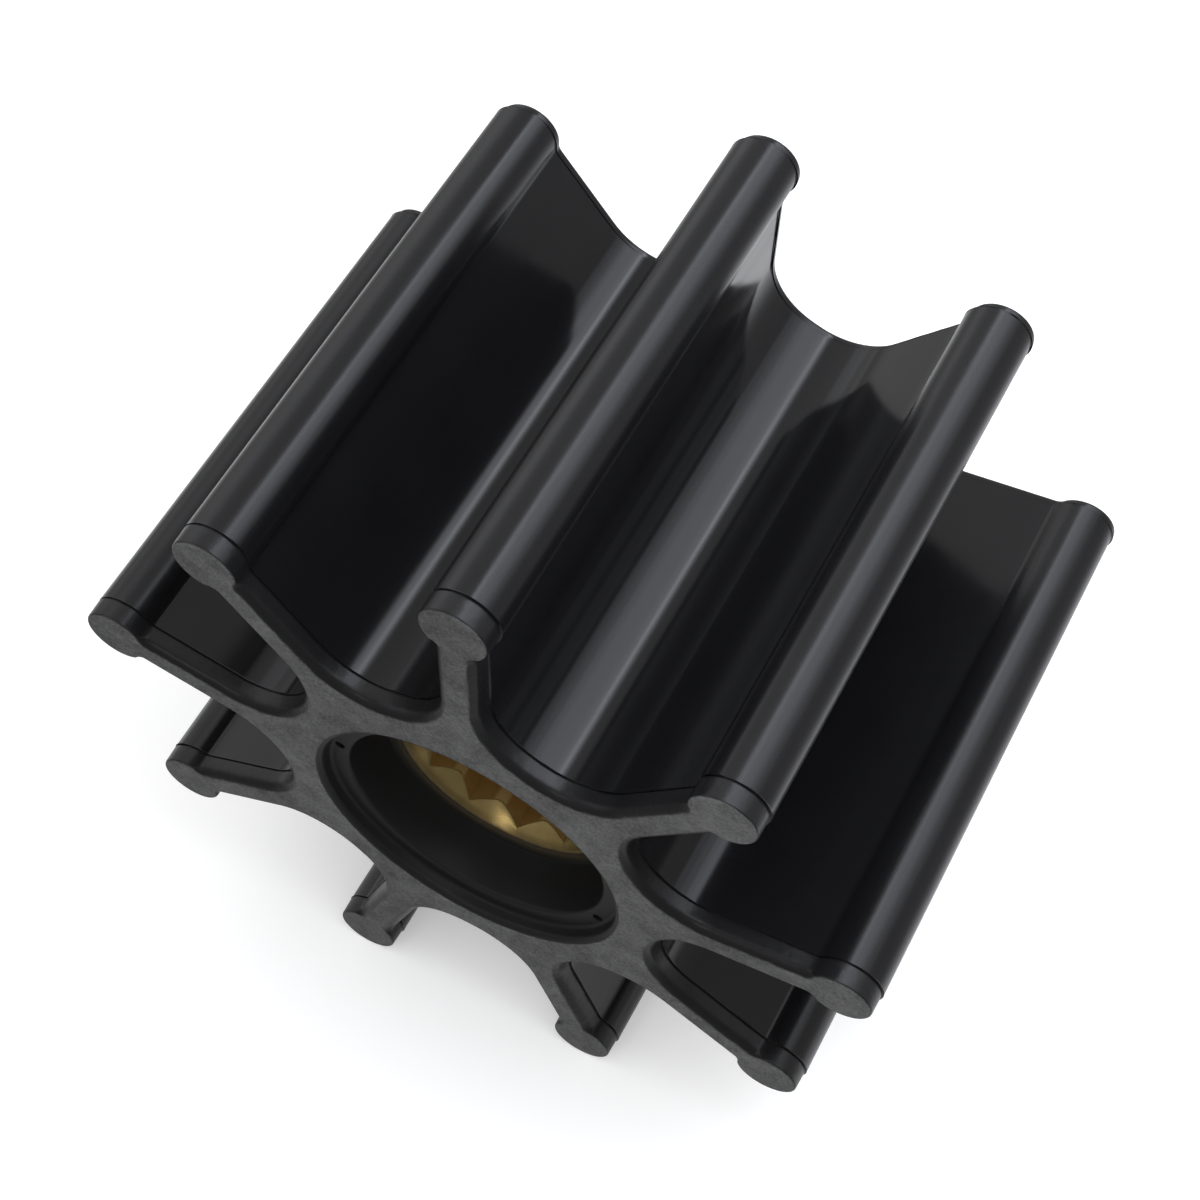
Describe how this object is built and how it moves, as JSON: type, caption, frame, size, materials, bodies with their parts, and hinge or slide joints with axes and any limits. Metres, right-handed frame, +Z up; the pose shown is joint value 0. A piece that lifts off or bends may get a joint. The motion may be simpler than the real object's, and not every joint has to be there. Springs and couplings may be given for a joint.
{
  "type": "rubber pump impeller",
  "caption": "Flexible rubber pump impeller with round-tipped radial blades and a splined brass insert in its hub.",
  "frame": {"origin": "on the shaft axis at mid-width", "axes": "+Y along the shaft axis; +Z up, along the blade that points straight up as the impeller rests on two blades; +X across the blades"},
  "size_m": [0.0936, 0.065, 0.0924],
  "materials": {
    "rubber": "moulded black rubber, satin on the blades and matte on the end faces",
    "brass": "machined brass, dull from storage"
  },
  "bodies": {
    "root": {"rubber_impeller": "rubber", "splined_insert": "brass"}
  },
  "joints": []
}
